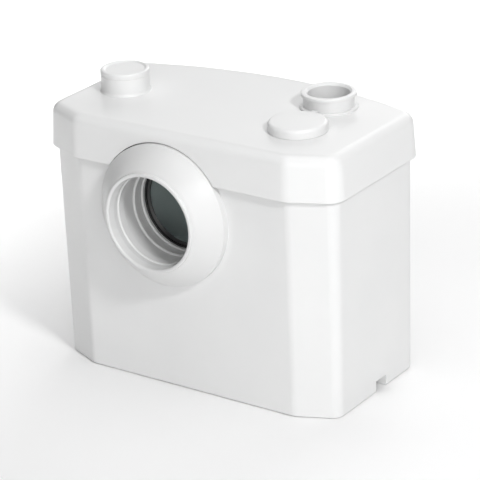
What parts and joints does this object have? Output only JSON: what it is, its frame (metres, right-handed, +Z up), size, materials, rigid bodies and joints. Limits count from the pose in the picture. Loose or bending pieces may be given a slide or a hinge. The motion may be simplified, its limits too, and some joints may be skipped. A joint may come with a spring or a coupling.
{
  "type": "macerator toilet pump",
  "caption": "White moulded macerator pump box with a pan inlet collar, lift-off lid, capped vent and inlet ports, lipped discharge outlet and a motor-driven blade, basket and pump inside",
  "frame": {"origin": "On the floor, under the middle of the overall box", "axes": "+Z up, the pan inlet faces -Y, +X is to the right seen from the front, towards the discharge outlet"},
  "size_m": [0.332, 0.22, 0.2857],
  "materials": {
    "white_plastic": "satin",
    "grey_plastic": "matte",
    "black_rubber": "matte",
    "bare_steel": "satin",
    "motor_paint": "satin",
    "copper_wire": "satin",
    "charcoal": "matte",
    "cream_plastic": "matte",
    "switch_plastic": "matte",
    "can_aluminium": "satin"
  },
  "bodies": {
    "tank": {"tank": "white_plastic", "lid_gasket": "black_rubber", "inlet_collar": "white_plastic", "inlet_seal": "black_rubber", "inlet_hopper": "grey_plastic", "basket": "grey_plastic", "motor_plate": "grey_plastic", "motor_cover": "motor_paint", "stator_core": "bare_steel", "windings": "copper_wire", "upper_bearing": "bare_steel", "lower_bearing": "bare_steel", "shaft_seal": "black_rubber", "pump_volute": "grey_plastic", "suction_cover": "grey_plastic", "pump_feet": "black_rubber", "discharge_pipe": "grey_plastic", "pressure_bell": "grey_plastic", "membrane": "black_rubber", "microswitch": "switch_plastic", "control_box": "grey_plastic", "control_cover": "grey_plastic", "capacitor": "can_aluminium", "cable_grommet": "black_rubber", "motor_screws": "bare_steel", "pump_screws": "bare_steel", "control_screws": "bare_steel"},
    "lid": {"lid": "white_plastic", "outlet_stub": "white_plastic", "pipe_seal": "black_rubber", "flap_pin": "bare_steel", "charcoal_filter": "charcoal"},
    "filter_cap": {"filter_cap": "white_plastic"},
    "aux_plug": {"aux_plug": "white_plastic"},
    "valve_flap": {"valve_flap": "black_rubber"},
    "motor_rotor": {"rotor": "bare_steel", "shaft": "bare_steel", "blade": "bare_steel", "impeller": "bare_steel", "impeller_nut": "bare_steel"},
    "switch_plunger": {"switch_plunger": "cream_plastic"}
  },
  "joints": [
    {"name": "lid_lift", "type": "slide", "parent": "tank", "child": "lid", "axis": [0, 0, 1], "range_m": [0, 0.07]},
    {"name": "filter_cap_lift", "type": "slide", "parent": "lid", "child": "filter_cap", "axis": [0, 0, 1], "range_m": [0, 0.03]},
    {"name": "plug_pull", "type": "slide", "parent": "lid", "child": "aux_plug", "axis": [0, 0, 1], "range_m": [0, 0.03]},
    {"name": "flap_swing", "type": "hinge", "parent": "lid", "child": "valve_flap", "pos_m": [0.083, 0.0663, 0.2481], "axis": [-1, 0, 0], "range_deg": [0, 60]},
    {"name": "motor_spin", "type": "hinge", "parent": "tank", "child": "motor_rotor", "pos_m": [0.063, -0.0155, 0.15], "axis": [0, 0, 1], "continuous": true},
    {"name": "switch_press", "type": "slide", "parent": "tank", "child": "switch_plunger", "axis": [0, 0, 1], "range_m": [0, 0.002], "stiffness_N_per_m": 250}
  ]
}
